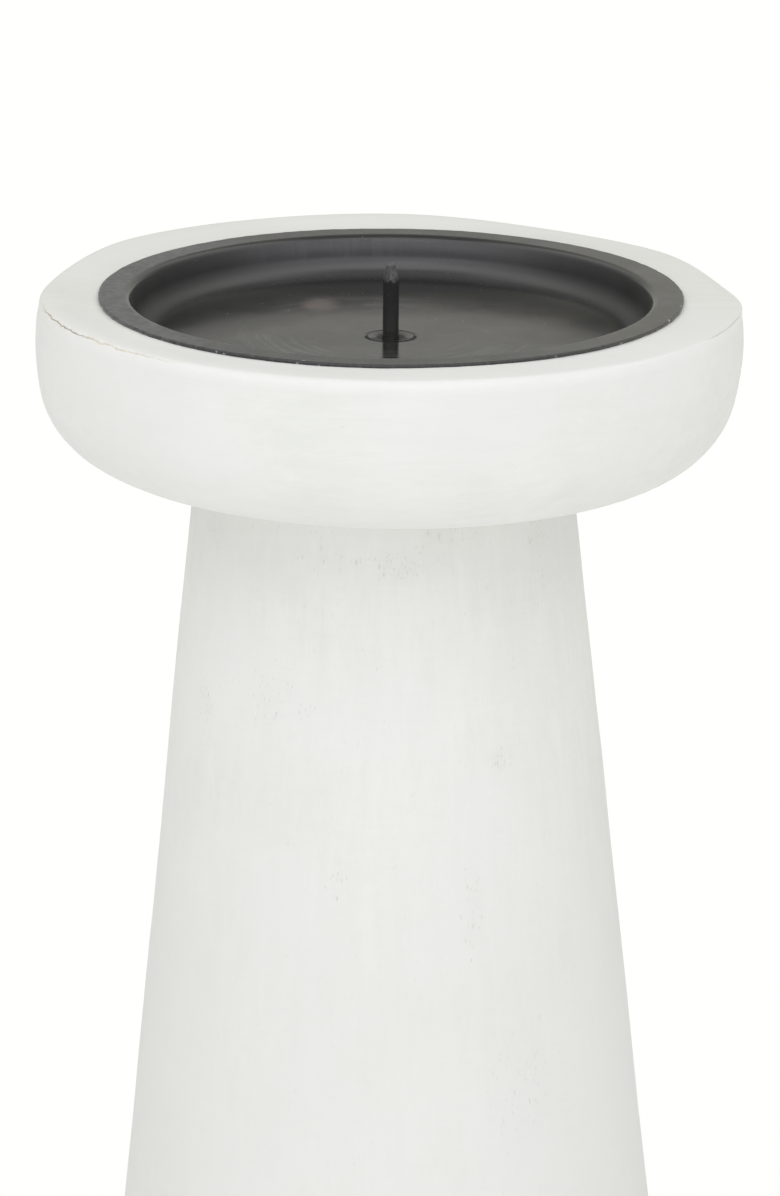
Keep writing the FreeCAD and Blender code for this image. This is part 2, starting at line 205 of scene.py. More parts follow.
def dish_outline():
    """From the mortise over the underside, side, rim and recess back to the screw hole."""
    top, neck = RIM_Z, NECK_Z
    outer = DISH_RADIUS
    side_end = top - 7.9
    # Below a straight stretch the side is three arcs, which meet at these angles below the horizontal.
    shoulder, corner, belly = 45.0, 13.6, 53.5
    first, second = 9.8, 76.2
    shoulder_centre = (outer - shoulder, side_end)
    corner_centre = polar(shoulder_centre, shoulder - corner, -first)
    flat_radius, mortise_mouth = 33.9, 13.0
    belly_centre = (flat_radius, neck + belly)
    points = line((mortise_mouth, neck), (flat_radius, neck), 14)
    points += arc(belly_centre, belly, -90, -second, 12)
    points += arc(corner_centre, corner, -second, -first, 34)[1:]
    points += arc(shoulder_centre, shoulder, -first, 0, 12)[1:]
    points += line((outer, side_end), (outer - RIM_TAPER, top - RIM_ROUND), 12)[1:]
    rim_centre = outer - RIM_TAPER - RIM_ROUND
    points += arc((rim_centre, top - RIM_ROUND), RIM_ROUND, 0, 90, 16)

    # The rim falls inwards to the seat of the pan's flange.
    seat = top - SEAT_DROP
    fall_steps = 14
    for i in range(1, fall_steps + 1):
        t = i / fall_steps
        points.append((rim_centre + (SEAT_RADIUS - rim_centre) * t, top - SEAT_DROP * smooth_step(0, 1, t)))
    seat_round = 0.5
    points += line((SEAT_RADIUS, seat), (RECESS_RADIUS + seat_round, seat), 5)[1:]
    points += arc((RECESS_RADIUS + seat_round, seat - seat_round), seat_round, 90, 180, 4)
    floor = top - RECESS_DEPTH
    points += line((RECESS_RADIUS, seat - seat_round), (RECESS_RADIUS, floor + RECESS_ROUND), 10)[1:]
    points += arc((RECESS_RADIUS - RECESS_ROUND, floor + RECESS_ROUND), RECESS_ROUND, 0, -90, 8)

    # Countersink and hole of the stem screw, and the mortise.
    sink_radius, sink_end, hole_radius = 4.9, floor - 3.2, 2.6
    mortise_top = neck + 12.2
    points += line((RECESS_RADIUS - RECESS_ROUND, floor), (sink_radius, floor), 40)[1:]
    points += [(sink_radius, floor), (sink_radius, floor - 0.5), (hole_radius, sink_end)]
    points += line((hole_radius, sink_end), (hole_radius, mortise_top), 2)[1:]
    points += [(hole_radius, mortise_top), (TENON_RADIUS + 0.1, mortise_top)]
    return points


def sharpness(angle):
    """How sharp the rim's outer edge is, from 0 (round) to 1, at an angle in radians."""
    right = math.cos(angle - math.radians(-22))
    left = math.cos(angle - math.radians(207))
    return 0.75 * smooth_step(0.80, 0.97, right) + 0.35 * smooth_step(0.75, 0.97, left)


def bump(angle, centre, half_width):
    """1 at the centre angle falling smoothly to 0 at half_width from it, both in degrees."""
    away = abs((math.degrees(angle) - centre + 180) % 360 - 180)
    return 0.5 + 0.5 * math.cos(math.pi * min(away / half_width, 1.0))


def sanded(angle, stretches):
    """Depth taken off at an angle in radians by all the stretches, in millimetres."""
    return sum(depth * bump(angle, centre, half_width) for depth, centre, half_width in stretches)


def chipped(angle):
    """Depth of wear on the rim's outer edge, in millimetres: the left front is knocked about."""
    left = smooth_step(0.86, 0.99, math.cos(angle - math.radians(208)))
    around = Vector((math.cos(angle), math.sin(angle), 0.0))
    rough = 0.5 + 0.5 * noise.noise(around * 18.0) + 0.3 * noise.noise(around * 55.0)
    return 0.26 * left * max(rough, 0.0)


def make_dish():
    corner = Vector((DISH_RADIUS - RIM_TAPER, 0.0, RIM_Z))

    def shape(point):
        radius = math.hypot(point.x, point.y)
        if radius < RECESS_RADIUS - RECESS_ROUND:
            return leaning(point)
        angle = math.atan2(point.y, point.x)
        across, up = radius, point.z
        from_corner = math.hypot(across - corner.x, up - corner.z)
        if from_corner < RIM_ROUND:
            # Draw the rounding out towards a sharp edge, or wear it back.
            pull = sharpness(angle)
            across += (corner.x - across) * pull
            up += (corner.z - up) * pull
            worn = chipped(angle) * (1 - from_corner / RIM_ROUND)
            across -= worn
            up -= worn
        soft = sanded(angle, EDGE_SOFTENINGS) * (1 - smooth_step(0.0, 5.0, from_corner))
        across -= soft
        up -= 0.8 * soft
        on_rim = smooth_step(SEAT_RADIUS, 54.0, radius) * smooth_step(RIM_Z - 9, RIM_Z, up)
        up -= sanded(angle, RIM_FALLS) * on_rim
        # The right front bulges a little, and the whole side is slightly uneven.
        across += 0.42 * bump(angle, -10, 60) * smooth_step(RIM_Z - 16, RIM_Z - 4, up)
        across += unevenness(point, 26.0, 0.22, 3.0) + unevenness(point, 9.0, 0.05, 8.0)
        up += unevenness(point, 22.0, 0.14, 5.0) * smooth_step(NECK_Z + 10, RIM_Z, point.z)
        seat = (1 - smooth_step(SEAT_RADIUS, 56.0, radius)) * smooth_step(RIM_Z - 9, RIM_Z - 5, point.z)
        up += seat * seat_height(point)
        return leaning(Vector((across * math.cos(angle), across * math.sin(angle), up)))

    piece = turn("turned_dish", dish_outline(), 512, loop=True, change=shape)
    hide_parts("dish")
    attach(piece, "stand")
    return piece


def make_column():
    foot, neck, tenon = FOOT_Z, NECK_Z, TENON_Z
    slope = (FOOT_RADIUS - NECK_RADIUS) / (neck - foot)
    foot_round, side_start = 1.2, 2.0
    round_centre = FOOT_RADIUS - foot_round - 0.15
    outline = line((0.0, foot), (round_centre, foot), 16)
    outline += arc((round_centre, foot + foot_round), foot_round, -90, 0, 8)
    side_foot = (FOOT_RADIUS - slope * side_start, foot + side_start)
    outline += line(side_foot, (NECK_RADIUS + 0.06, neck - 0.5), 200)
    outline += [(NECK_RADIUS + 0.05, neck - 0.4), (NECK_RADIUS, neck - 0.25),
                (NECK_RADIUS - 0.12, neck - 0.1), (NECK_RADIUS - 0.35, neck)]
    outline += line((NECK_RADIUS - 1.0, neck), (TENON_RADIUS, neck), 6)
    outline += line((TENON_RADIUS, neck), (TENON_RADIUS, tenon - 1.0), 3)
    outline += [(TENON_RADIUS, tenon - 1.0), (TENON_RADIUS - 1.0, tenon), (SCREW_RADIUS, tenon),
                (SCREW_RADIUS, SCREW_TIP_Z + SCREW_POINT), (0.0, SCREW_TIP_Z)]

    def shape(point):
        radius = math.hypot(point.x, point.y)
        if radius > 26.0:
            swell = unevenness(point, 38.0, 0.25, 11.0) + unevenness(point, 12.0, 0.05, 2.0)
            scale = 1 + swell / radius
            point = Vector((point.x * scale, point.y * scale, point.z))
        lean = smooth_step(NECK_Z - 14.0, NECK_Z, point.z)
        if point.z > NECK_Z:
            return leaning(point) - Vector((OFF_AXIS, 0, 0))
        return Vector((point.x, point.y, point.z - lean * math.tan(LEAN) * point.x))

    piece = turn("turned_column", outline, 360, change=shape)
    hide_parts("column")
    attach(piece, "stand")
    return piece


# ---- Stem screw: countersunk head with a cross recess, shank with a cut thread ----
def make_stem_screw():
    tip, top = SCREW_TIP_Z, SCREW_TOP_Z
    head = SCREW_HEAD_RADIUS
    pitch, thread_depth = 2.2, 0.55
    thread_start, thread_end = tip + 0.8, top - 24.0
    point_end, head_start = tip + SCREW_POINT, top - 3.1
    outline = [(0.0, tip)] + line((0.25, tip + 0.4), (SCREW_RADIUS, point_end), 24)
    outline += line((SCREW_RADIUS, point_end), (SCREW_RADIUS, thread_end), 130)
    outline += line((SCREW_RADIUS, thread_end), (SCREW_RADIUS, head_start), 12)
    outline += line((SCREW_RADIUS, head_start), (head - 0.15, top - 0.5), 6)
    outline += [(head - 0.03, top - 0.4), (head, top - 0.28), (head - 0.04, top - 0.1),
                (head - 0.2, top)]
    outline += line((head - 0.4, top), (0.12, top), 42) + [(0.0, top)]

    def recess(point):
        """Depth of the cross recess, which narrows and shallows outwards."""
        long_way, short_way = max(abs(point.x), abs(point.y)), min(abs(point.x), abs(point.y))
        inside = 1 - smooth_step(0.50, 0.62, short_way + 0.06 * long_way)
        inside = max(inside, 1 - smooth_step(0.95, 1.25, math.hypot(point.x, point.y)))
        return inside * 2.2 * (1 - smooth_step(1.0, 2.7, long_way))

    def shape(point):
        radius = math.hypot(point.x, point.y)
        if thread_start < point.z < thread_end and radius > 0.3:
            turns = (point.z - tip) / pitch - math.atan2(point.y, point.x) / (2 * math.pi)
            crest = abs(2 * (turns % 1.0) - 1)
            fade = smooth_step(thread_start, point_end, point.z)
            fade *= 1 - smooth_step(thread_end - 2.0, thread_end, point.z)
            cut = thread_depth * fade * smooth_step(0.0, 0.7, crest) * min(1.0, radius / SCREW_RADIUS)
            scale = 1 - cut / radius
            point = Vector((point.x * scale, point.y * scale, point.z))
        elif point.z > top - 0.01:
            point = Vector((point.x, point.y, point.z - recess(point)))
        return leaning(point)

    piece = turn("countersunk_screw", outline, 120, change=shape)
    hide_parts("stem_screw")
    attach(piece, "stand")
    return piece


# ---- Felt pads under the foot ----
def make_felt_pad(node_name):
    """A pressed disc with a slightly frayed side, in the place of its CAD node."""
    low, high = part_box(node_name)
    centre = Vector(((low[0] + high[0]) / 2, (low[1] + high[1]) / 2, 0.0)) / MM
    radius, height = (high[0] - low[0]) / 2 / MM, high[2] / MM
    outline = [(0.0, 0.0)] + line((1.0, 0.0), (radius - 0.5, 0.0), 6)
    outline += arc((radius - 0.45, 0.4), 0.4, -90, -20, 4)
    outline += line((radius - 0.06, 0.5), (radius - 0.06, height - 0.45), 8)
    outline += arc((radius - 0.4, height - 0.36), 0.34, 10, 90, 4)
    outline += line((radius - 0.6, height), (1.0, height), 6) + [(0.0, height)]

    def shape(point):
        out = math.hypot(point.x, point.y)
        if out > radius - 0.7:
            place = point + centre
            fray = 0.10 * noise.noise(place / 0.7) + 0.05 * noise.noise(place / 0.25)
            point = Vector((point.x * (1 + fray / out), point.y * (1 + fray / out), point.z))
        return point + centre

    piece = turn("felt_disc_" + node_name.rsplit("_", 1)[1], outline, 160, change=shape)
    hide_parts(node_name)
    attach(piece, "stand")
    return piece


# ---- Pan and spike ----
PAN_DEPTH = 7.15
# How much higher the pan's floor is at its edge than in the middle.
FLOOR_RISE = 0.50
# Radius of the hole in the pan that the spike's tail goes through.
TAIL_RADIUS = 0.95


def make_pan():
    top = FLANGE_Z
    floor = top - PAN_DEPTH
    # Radii of the roundings from the flange down to the floor, and the wall's angles from vertical.
    lip, throat, fillet = 1.4, 10.0, 3.5
    steep, draft = 15.0, 3.0
    wall_top, dimple, dimple_depth = 42.2, 3.8, 0.5
    lip_centre = (wall_top + lip, top - lip)
    path = line((FLANGE_RADIUS - 0.12, top), (wall_top + lip, top), 14)
    path += arc(lip_centre, lip, 90, 180 - steep, 12)
    # The lip runs on as a slow round, down to the steep part of the wall.
    throat_centre = polar(lip_centre, throat - lip, -steep)
    path += arc(throat_centre, throat, 180 - steep, 180 - draft, 8)[1:]
    foot_radius, foot_height = path[-1]
    edge_height = floor + FLOOR_RISE
    wall_foot = foot_radius - math.tan(math.radians(draft)) * (foot_height - edge_height - fillet)
    fillet_centre = (wall_foot - fillet, edge_height + fillet)
    path += arc(fillet_centre, fillet, -draft, -88.5, 18)
    floor_edge = path[-1][0]
    floor_steps = 44
    for i in range(1, floor_steps + 1):
        radius = floor_edge + (dimple - floor_edge) * i / floor_steps
        path.append((radius, floor + FLOOR_RISE * (radius / floor_edge) ** 2))
    # The dimple's side is soft at the top and still steep where it meets the spike.
    dimple_steps, reach = 14, 1.35
    for i in range(dimple_steps + 1):
        t = i / dimple_steps
        depth = dimple_depth * smooth_step(0.0, reach, t) / smooth_step(0.0, reach, 1.0)
        path.append((dimple - (dimple - TAIL_RADIUS) * t, floor - depth))
    upper, under = thicken(path, SHEET)
    edge_round = [(FLANGE_RADIUS, top - 0.16), (FLANGE_RADIUS, top - SHEET + 0.16)]
    outline = upper[::-1] + edge_round + under

    def shape(point):
        radius = math.hypot(point.x, point.y)
        angle = math.atan2(point.y, point.x)
        around = Vector((math.cos(angle), math.sin(angle), 0.0))
        edge = smooth_step(FLANGE_RADIUS - 0.7, FLANGE_RADIUS, radius)
        ragged = (0.11 * noise.noise(around * 12.0) + 0.08 * noise.noise(around * 24.0)
                  + 0.05 * noise.noise(around * 60.0))
        out = edge * (ragged - 0.2) + 0.10 * noise.noise(around * 1.3 + Vector((4, 0, 0)))
        up = 0.05 * noise.noise(point / 14.0) + edge * 0.04 * noise.noise(around * 30.0)
        if radius > 1.5:
            point = point + around * out
        return seated(point + Vector((0, 0, max(up, -0.03))))

    piece = turn("enamel_pan", outline, 430, loop=True, change=shape)
    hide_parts("pan")
    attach(piece, "drip_pan")
    return piece


def make_spike():
    point_height, end_radius = 2.7, 0.72
    shoulder = SPIKE_Z - point_height
    foot = PAN_LOW_Z + SHEET
    outline = [(0.0, RIVET_Z), (1.2, RIVET_Z), (1.6, RIVET_Z + 0.15), (1.7, RIVET_Z + 0.35),
               (1.5, RIVET_Z + 0.6), (0.9, RIVET_Z + 0.6), (0.9, foot),
               (1.45, foot + 0.02), (SPIKE_RADIUS + 0.03, foot + 0.25)]
    outline += line((SPIKE_RADIUS, foot + 0.5), (SPIKE_RADIUS, shoulder), 16)
    outline += line((SPIKE_RADIUS, shoulder), (end_radius, SPIKE_Z - 0.62), 14)
    outline += arc((0.0, SPIKE_Z - end_radius - 0.02), end_radius + 0.02, 12, 84, 8)
    outline += [(0.0, SPIKE_Z)]
    facets = 5
    step = 2 * math.pi / facets

    def shape(point):
        if point.z > shoulder - 0.3:
            # The cone was ground by hand, so it has flats.
            angle = math.atan2(point.y, point.x)
            offset = (angle + 0.4) % step - step / 2
            flat = math.cos(step / 2) / math.cos(offset)
            amount = smooth_step(shoulder - 0.3, shoulder + 0.6, point.z) * 0.85
            scale = 1 + (flat / math.cos(step / 2) * 0.93 - 1) * amount
            point = Vector((point.x * scale, point.y * scale, point.z))
        elif point.z > foot:
            swell = 1 + 0.02 * noise.noise(point / 1.7)
            point = Vector((point.x * swell, point.y * swell, point.z))
        return seated(point)

    piece = turn("candle_spike", outline, 96, change=shape)
    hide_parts("spike")
    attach(piece, "drip_pan")
    return piece


def make_washer():
    low, top, outer = WASHER_Z, WASHER_TOP_Z, WASHER_RADIUS
    outline = [(TAIL_RADIUS, low), (outer - 0.25, low), (outer - 0.07, low + 0.07), (outer, low + 0.25),
               (outer, top - 0.15), (outer - 0.1, top), (TAIL_RADIUS, top)]
    piece = turn("rivet_washer", outline, 96, loop=True, change=seated)
    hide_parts("spike_washer")
    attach(piece, "drip_pan")
    return piece


# ---- Materials ----
def node(tree, kind, inputs=None, **settings):
    """Adds a node. A socket among the inputs is linked, and anything else is set."""
    made = tree.nodes.new(kind)
    for name, value in settings.items():
        setattr(made, name, value)
    for name, value in (inputs or {}).items():
        if isinstance(value, bpy.types.NodeSocket):
            tree.links.new(value, made.inputs[name])
        else:
            made.inputs[name].default_value = value
    return made


class Paint:
    """A node material under construction. Its lengths are in millimetres."""

    def __init__(self, name):
        self.material = bpy.data.materials.new(name)
        self.material.use_nodes = True
        self.tree = self.material.node_tree
        self.tree.nodes.clear()
        position = node(self.tree, "ShaderNodeTexCoord").outputs["Object"]
        self.place = self.vector("SCALE", position, Scale=1 / MM)
        parts = node(self.tree, "ShaderNodeSeparateXYZ", {"Vector": self.place}).outputs
        self.x, self.y, self.z = parts[0], parts[1], parts[2]
        self.angle = self.math("ARCTAN2", self.y, self.x)
        profile = node(self.tree, "ShaderNodeAttribute", attribute_name="profile").outputs["Vector"]
        profile = node(self.tree, "ShaderNodeSeparateXYZ", {"Vector": profile}).outputs
        self.radius, self.height = profile[0], profile[2]

    def vector(self, operation, first, second=None, **inputs):
        settings = {0: first, **inputs}
        if second is not None:
            settings[1] = second
        return node(self.tree, "ShaderNodeVectorMath", settings, operation=operation).outputs[0]

    def math(self, operation, first, second=0.0):
        return node(self.tree, "ShaderNodeMath", {0: first, 1: second}, operation=operation).outputs[0]

    def joined(self, x, y, z):
        return node(self.tree, "ShaderNodeCombineXYZ", {"X": x, "Y": y, "Z": z}).outputs[0]

    def wrapped(self, around, along):
        """A place for noise on a turned surface: the angle times around, and the socket along."""
        return self.joined(self.math("MULTIPLY", self.angle, around), 0.0, along)

    def stretched(self, x, y, z):
        return self.vector("MULTIPLY", self.place, (x, y, z))

    def noise(self, at, scale, detail=2.0, roughness=0.5, distortion=0.0):
        inputs = {"Vector": at, "Scale": scale, "Detail": detail, "Roughness": roughness,
                  "Distortion": distortion}
        return node(self.tree, "ShaderNodeTexNoise", inputs).outputs[0]

    def cells(self, at, scale):
        """(distance to the nearest cell point, a random number of that cell)."""
        made = node(self.tree, "ShaderNodeTexVoronoi", {"Vector": at, "Scale": scale}).outputs
        number = node(self.tree, "ShaderNodeSeparateColor", {"Color": made["Color"]}).outputs[0]
        return made["Distance"], number

    def ramp(self, value, low, high, to_low=0.0, to_high=1.0):
        inputs = {"Value": value, "From Min": low, "From Max": high, "To Min": to_low, "To Max": to_high}
        return node(self.tree, "ShaderNodeMapRange", inputs, interpolation_type="SMOOTHSTEP").outputs[0]

    def band(self, value, centre, half_width):
        """1 where value is at centre, falling to 0 at half_width from it."""
        away = self.math("ABSOLUTE", self.math("SUBTRACT", value, centre))
        return self.ramp(away, 0.0, half_width, 1.0, 0.0)

    def product(self, *factors):
        result = factors[0]
        for factor in factors[1:]:
            result = self.math("MULTIPLY", result, factor)
        return result

    def total(self, *terms):
        """Sum of (weight, socket) pairs."""
        result = None
        for weight, socket in terms:
            term = self.math("MULTIPLY", socket, weight)
            result = term if result is None else self.math("ADD", result, term)
        return result

    def strongest(self, masks):
        """The largest of the masks."""
        result = masks[0]
        for mask in masks[1:]:
            result = self.math("MAXIMUM", result, mask)
        return result

    def spot(self, centre, radii, soft=1.0):
        """1 inside an ellipsoid round centre, falling to 0 at its surface."""
        scaled = self.vector("DIVIDE", self.vector("SUBTRACT", self.place, centre), radii)
        distance = node(self.tree, "ShaderNodeVectorMath", {0: scaled}, operation="LENGTH").outputs["Value"]
        return self.ramp(distance, 1.0 - soft, 1.0, 1.0, 0.0)

    def mix(self, factor, first, second):
        made = node(self.tree, "ShaderNodeMix", {0: factor}, data_type="RGBA")
        for index, colour in ((6, first), (7, second)):
            if isinstance(colour, bpy.types.NodeSocket):
                self.tree.links.new(colour, made.inputs[index])
            else:
                made.inputs[index].default_value = (*colour, 1)
        return made.outputs[2]

    def coats(self, colour, *coats):
        """The colour under coats laid on in turn, each a (mask, strength, colour)."""
        for mask, strength, coat in coats:
            colour = self.mix(self.product(mask, strength), colour, coat)
        return colour

    def finish(self, colour, roughness, height, depth, **fixed):
        """Ends in one Principled shader. height, in millimetres times depth, becomes a bump."""
        relief = {"Strength": 1.0, "Distance": depth * MM, "Height": height}
        bumped = node(self.tree, "ShaderNodeBump", relief)
        inputs = {"Base Color": colour, "Roughness": roughness, "Normal": bumped.outputs[0]}
        inputs.update({name.replace("_", " "): value for name, value in fixed.items()})
        shader = node(self.tree, "ShaderNodeBsdfPrincipled", inputs)
        node(self.tree, "ShaderNodeOutputMaterial", {"Surface": shader.outputs[0]})
        return self.material


WASH_FULL = (0.768, 0.772, 0.747)
WASH_THIN = (0.712, 0.720, 0.686)
WASH_COOL = (0.757, 0.753, 0.745)
WASH_WORN = (0.60, 0.60, 0.575)
PORE = (0.36, 0.355, 0.33)
PALE_WOOD = (0.64, 0.48, 0.32)
BARE_WOOD = (0.56, 0.40, 0.25)
CRACK = (0.16, 0.11, 0.07)

# Where the wash is worn and the pores show on the column: angle round it in degrees, height above
# the ground, half width and half height in millimetres, and how worn it is.
WORN_PATCHES = [
    (211, 271, 4.5, 7.0, 0.9), (252, 270, 7.0, 4.5, 0.6), (276, 268, 11.0, 4.5, 0.9),
    (289, 273, 7.0, 4.5, 0.7), (321, 271, 4.0, 7.0, 1.0), (322, 261, 3.0, 5.0, 0.5),
    (240, 246, 9.0, 8.0, 0.5), (212, 241, 5.0, 5.0, 0.6), (302, 235, 3.5, 3.5, 1.0),
    (258, 217, 4.0, 6.0, 0.6), (292, 210, 3.0, 12.0, 0.8), (304, 180, 12.0, 14.0, 0.5),
    (70, 262, 9.0, 6.0, 0.8), (130, 225, 8.0, 12.0, 0.6), (20, 150, 6.0, 16.0, 0.7),
    (95, 90, 14.0, 12.0, 0.5), (250, 60, 12.0, 10.0, 0.5), (330, 50, 9.0, 12.0, 0.6),
]


def column_point(angle, height):
    """Point on the column's side, in millimetres."""
    radius = NECK_RADIUS + (FOOT_RADIUS - NECK_RADIUS) * (NECK_Z - height) / (NECK_Z - FOOT_Z)
    turn_angle = math.radians(angle)
    return radius * math.cos(turn_angle), radius * math.sin(turn_angle), height


def white_wash(paint, along, worn, pore_share):
    """(colour, roughness, height) of white-washed wood whose grain runs along a direction.

    along holds the scale of each axis: small along the grain. worn is a mask of where pores show
    most, and pore_share is the share of pores open everywhere else.
    """
    grain = paint.stretched(*along)
    fibres = paint.noise(grain, 2.6, 4.0, 0.6)
    strands = paint.noise(grain, 0.45, 3.0, 0.55)
    clouds = paint.noise(paint.place, 0.055, 4.0, 0.6)
    tints = paint.noise(paint.place, 0.032, 2.0)
    brushed = paint.noise(paint.wrapped(4.0, paint.z), 1.3, 3.0, 0.6)
    grit = paint.noise(paint.place, 5.5, 3.0, 0.7)

    cover = paint.total((0.36, clouds), (0.24, strands), (0.18, fibres), (0.14, brushed), (0.08, grit))
    colour = paint.mix(paint.ramp(cover, 0.36, 0.62), WASH_THIN, WASH_FULL)
    colour = paint.mix(paint.ramp(tints, 0.40, 0.66, 0.0, 0.6), colour, WASH_COOL)

    # Open pores: short dashes along the grain, crowded where the wash is worn.
    pore_grid = paint.stretched(*(0.30 if share < 0.5 else 1.0 for share in along))
    distance, number = paint.cells(pore_grid, 1.15)
    ragged = paint.math("ADD", distance, paint.math("MULTIPLY", grit, 0.12))
    open_share = paint.math("ADD", paint.product(worn, 0.95), pore_share)
    is_open = paint.ramp(paint.math("SUBTRACT", open_share, number), 0.0, 0.12)
    pores = paint.product(paint.ramp(ragged, 0.10, 0.30, 1.0, 0.0), is_open)
    tiny_distance, tiny_number = paint.cells(pore_grid, 2.7)
    tiny_share = paint.math("MULTIPLY", open_share, 1.1)
    tiny_open = paint.ramp(paint.math("SUBTRACT", tiny_share, tiny_number), 0.0, 0.1)
    tiny = paint.product(paint.ramp(tiny_distance, 0.14, 0.34, 1.0, 0.0), tiny_open)
    colour = paint.coats(colour, (worn, 0.20, WASH_WORN), (pores, 0.38, PORE), (tiny, 0.30, PORE))

    roughness = paint.ramp(paint.total((0.6, clouds), (0.4, grit)), 0.35, 0.65, 0.62, 0.78)
    height = paint.total((0.30, fibres), (0.22, strands), (0.12, grit), (0.10, brushed),
                         (-0.9, pores), (-0.4, tiny))
    return colour, roughness, height


def bare(paint, colour, inside):
    """Unpainted wood where inside is 1, with a mist of the wash that thickens outwards."""
    fibres = paint.noise(paint.stretched(0.04, 0.7, 0.7), 2.4, 4.0, 0.6)
    rings = paint.noise(paint.stretched(0.03, 0.30, 0.30), 0.8, 3.0, 0.5, 0.6)
    figure = paint.ramp(paint.total((0.55, rings), (0.45, fibres)), 0.36, 0.62)
    wood = paint.mix(figure, PALE_WOOD, BARE_WOOD)
    mist = paint.noise(paint.place, 0.9, 4.0, 0.7)
    cover = paint.product(paint.ramp(paint.radius, 14.0, 43.0, 0.08, 0.55),
                          paint.ramp(mist, 0.3, 0.7, 0.8, 1.0))
    return paint.mix(paint.product(inside, paint.math("SUBTRACT", 1.0, cover)), colour, wood)


def column_wash():
    paint = Paint("white_wash_column")
    ragged = paint.noise(paint.stretched(1.0, 1.0, 0.4), 0.5, 3.0, 0.6)
    patches = [paint.product(paint.spot(column_point(angle, height), (wide, wide, tall)), amount)
               for angle, height, wide, tall, amount in WORN_PATCHES]
    worn = paint.product(paint.strongest(patches), paint.ramp(ragged, 0.26, 0.54))
    colour, roughness, height = white_wash(paint, (1.0, 1.0, 0.06), worn, 0.06)
    # The column is painted lighter close to the neck, a painted light against the dish's shadow there, and
    # darker below it, a painted shade.
    neck_painted_light = paint.ramp(paint.height, 256.0, 284.0)
    lower_painted_shade = paint.ramp(paint.height, 268.0, 190.0)
    colour = paint.coats(colour, (neck_painted_light, 0.6, (0.800, 0.803, 0.778)),
                         (lower_painted_shade, 0.5, (0.682, 0.684, 0.664)))
    under_foot = paint.ramp(paint.height, FOOT_Z + 0.2, FOOT_Z + 0.02)
    on_top = paint.ramp(paint.height, NECK_Z - 0.02, NECK_Z)
    colour = bare(paint, colour, paint.math("MAXIMUM", under_foot, on_top))
    return paint.finish(colour, roughness, height, 0.07, Specular_IOR_Level=0.18)


def arc_mask(paint, start, end, soft=0.12):
    """1 between two angles round the axis, given in degrees from -180 to 180."""
    after = paint.ramp(paint.angle, math.radians(start) - soft, math.radians(start) + soft)
    before = paint.ramp(paint.angle, math.radians(end) - soft, math.radians(end) + soft, 1.0, 0.0)
    return paint.product(after, before)


def edge_wear(paint, colour):
    """The colour with the wear along the rim's outer edge, and that wear's (depth, mask) pairs."""
    # How far a point of the profile lies from the edge, wavering along the rim.
    corner_out = paint.math("SUBTRACT", paint.radius, DISH_RADIUS - RIM_TAPER)
    corner_up = paint.math("SUBTRACT", paint.height, RIM_Z)
    from_edge = paint.math("SUBTRACT", corner_out, corner_up)
    waver = paint.noise(paint.place, 0.28, 4.0, 0.65)
    from_edge = paint.math("ADD", from_edge, paint.ramp(waver, 0.25, 0.75, -0.55, 0.55))
    at_edge = paint.product(paint.ramp(corner_out, -2.2, -1.4), paint.ramp(corner_up, -2.2, -1.4))

    # Left front: the paint has cracked along the edge and brown wood shows.
    left = arc_mask(paint, -168, -128)
    worst = arc_mask(paint, -164, -146, 0.08)
    flakes = paint.noise(paint.place, 0.9, 4.0, 0.7)
    rubbed = paint.product(paint.band(from_edge, -0.25, 1.25), left, paint.ramp(flakes, 0.50, 0.62), at_edge)
    flaked = paint.product(paint.band(from_edge, 0.0, 0.42), left, at_edge, paint.ramp(flakes, 0.36, 0.50))
    crack = paint.product(paint.band(from_edge, 0.15, 0.17), worst, at_edge)

    # Right: a dark hairline on a crisp edge. A faint line follows the back of the rim.
    hairline = paint.product(paint.band(from_edge, 0.0, 0.20), arc_mask(paint, -27, -11, 0.05), at_edge)
    faint = paint.product(paint.band(from_edge, 0.1, 0.4), arc_mask(paint, 10, 150), at_edge)
    colour = paint.coats(colour, (rubbed, 0.42, (0.66, 0.58, 0.46)), (flaked, 0.62, (0.56, 0.46, 0.32)),
                         (crack, 0.80, CRACK), (hairline, 0.72, (0.24, 0.21, 0.18)),
                         (faint, 0.10, (0.50, 0.49, 0.45)))
    return colour, [(-1.2, crack), (-0.6, flaked), (-0.8, hairline)]


# Knocks and scuffs on the dish: place and half sizes in millimetres, and strength.
DISH_MARKS = [
    ((-50.6, -27.4, 302.6), (0.7, 0.7, 0.35), 0.65), ((-49.0, -30.2, 302.2), (0.4, 0.4, 0.3), 0.4),
    ((43.0, -38.2, 297.6), (0.5, 0.5, 0.9), 0.45), ((44.6, -36.4, 296.0), (0.3, 0.3, 0.7), 0.4),
    ((-15.5, -53.0, 304.6), (2.0, 0.5, 0.35), 0.40), ((-33.0, -47.2, 300.6), (0.5, 0.5, 0.4), 0.35),
    ((22.0, 53.4, 297.0), (1.5, 0.8, 0.3), 0.5), ((-40.0, 41.5, 291.0), (0.6, 0.6, 0.6), 0.5),
]


